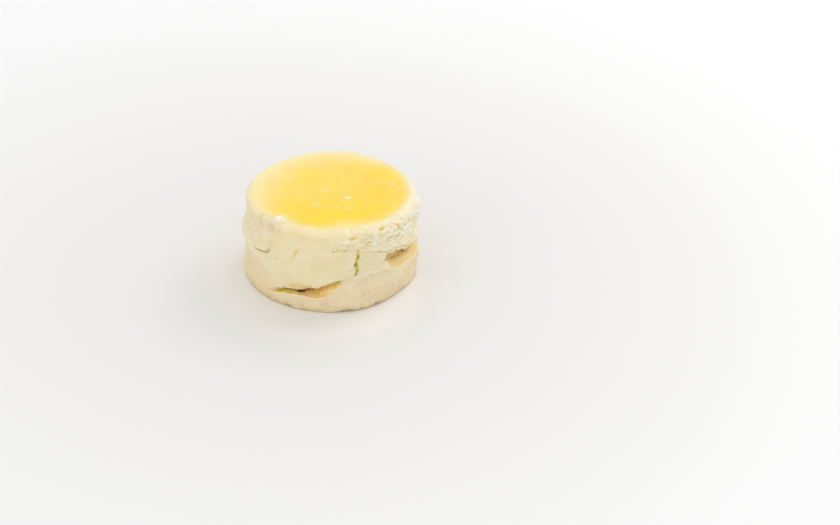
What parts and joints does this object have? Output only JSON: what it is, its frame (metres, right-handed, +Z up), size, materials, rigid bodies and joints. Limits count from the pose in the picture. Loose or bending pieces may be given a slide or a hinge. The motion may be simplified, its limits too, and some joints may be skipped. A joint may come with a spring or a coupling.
{
  "type": "key lime pie",
  "caption": "Small round ring-moulded key lime pie: pale biscuit base torn open in places, thick pale lime cream with folds and cracks, and a glossy yellow curd top.",
  "frame": {"origin": "centre of the flat underside of the biscuit base", "axes": "+Z up through the layers, -Y towards the front with the long tear, +X to the right"},
  "size_m": [0.0816, 0.0804, 0.0405],
  "materials": {
    "biscuit": "matt pale beige pressed biscuit smeared with cream, tan and crumbly where it is torn",
    "lime_cream": "soft satin pale yellow-green cream, spatula smeared, slightly translucent",
    "lime_curd": "wet glossy warm yellow curd, translucent, paler where it thins at its edge"
  },
  "bodies": {
    "root": {"base": "biscuit", "filling": "lime_cream", "topping": "lime_curd"}
  },
  "joints": []
}
